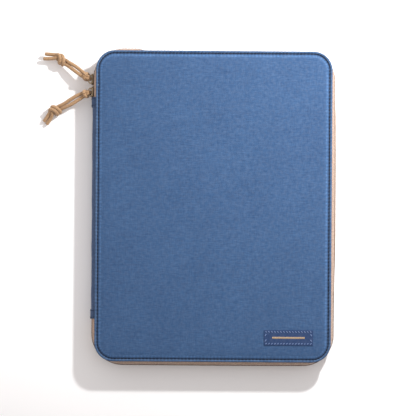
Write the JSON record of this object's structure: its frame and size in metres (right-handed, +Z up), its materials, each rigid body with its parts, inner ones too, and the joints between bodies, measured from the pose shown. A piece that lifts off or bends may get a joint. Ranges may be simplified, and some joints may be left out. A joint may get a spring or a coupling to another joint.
{
  "type": "laptop sleeve",
  "caption": "Padded zip-around clamshell sleeve for a laptop, with a fabric spine, facing zip sliders and knotted cord pulls.",
  "frame": {"origin": "centre of the base's underside, on the surface the sleeve lies on", "axes": "+X away from the spine, +Y along the sleeve towards the end that the sliders are near, +Z up through the front cover"},
  "size_m": [0.3238, 0.3496, 0.0268],
  "materials": {
    "canvas_blue": "waxed plain-weave canvas, matt",
    "spine_blue": "darker canvas, matt",
    "piping_blue": "canvas-covered piping, matt",
    "thread_blue": "sewing thread",
    "tape_tan": "herringbone zip tape, matt",
    "coil_tan": "moulded polymer coil, satin",
    "lining_tan": "brushed lining, matt",
    "foam_grey": "closed-cell foam",
    "binding_tan": "woven binding tape",
    "label_navy": "woven label",
    "label_thread": "decorative thread",
    "slider_bronze": "antique bronze plating, worn",
    "cord_tan": "braided sheath"
  },
  "bodies": {
    "base": {"base_shell": "canvas_blue", "base_foam": "foam_grey", "spine_foam": "foam_grey", "base_lining": "lining_tan", "spine_lining": "lining_tan", "base_piping": "piping_blue", "base_topstitch": "thread_blue", "base_seam_binding": "binding_tan", "lower_zip_tape": "tape_tan", "upper_tape_end_top": "tape_tan", "upper_tape_end_bottom": "tape_tan", "lower_zip_coil": "coil_tan", "upper_coil_end_top": "coil_tan", "upper_coil_end_bottom": "coil_tan", "spine_panel": "spine_blue", "zip_end_tab_top": "spine_blue", "zip_end_tab_bottom": "spine_blue"},
    "cover": {"cover_shell": "canvas_blue", "cover_foam": "foam_grey", "cover_lining": "lining_tan", "cover_piping": "piping_blue", "cover_topstitch": "thread_blue", "cover_seam_binding": "binding_tan", "upper_zip_tape": "tape_tan", "upper_zip_coil": "coil_tan", "label_patch": "label_navy", "label_stitch": "label_thread"},
    "upper_slider": {"upper_slider": "slider_bronze"},
    "lower_slider": {"lower_slider": "slider_bronze"},
    "upper_pull": {"upper_pull_hitch": "cord_tan", "upper_pull_cord": "cord_tan", "upper_pull_knot": "cord_tan"},
    "lower_pull": {"lower_pull_hitch": "cord_tan", "lower_pull_cord": "cord_tan", "lower_pull_knot": "cord_tan"}
  },
  "joints": [
    {"name": "cover_hinge", "type": "hinge", "parent": "base", "child": "cover", "pos_m": [-0.12875, 0, 0.0243], "axis": [0, -1, 0], "range_deg": [0, 180]},
    {"name": "upper_slider_travel", "type": "hinge", "parent": "base", "child": "upper_slider", "pos_m": [-0.0995, 0.1405, 0.013], "axis": [0, 0, -1], "range_deg": [0, 90]},
    {"name": "lower_slider_travel", "type": "slide", "parent": "base", "child": "lower_slider", "axis": [0, 1, 0], "range_m": [0, 0.0024]},
    {"name": "upper_pull_swing", "type": "hinge", "parent": "upper_slider", "child": "upper_pull", "pos_m": [-0.13675, 0.1405, 0.013], "axis": [0, 0, 1], "range_deg": [-35, 25]},
    {"name": "lower_pull_swing", "type": "hinge", "parent": "lower_slider", "child": "lower_pull", "pos_m": [-0.13675, 0.1262, 0.013], "axis": [0, 0, 1], "range_deg": [-14, 40]}
  ]
}
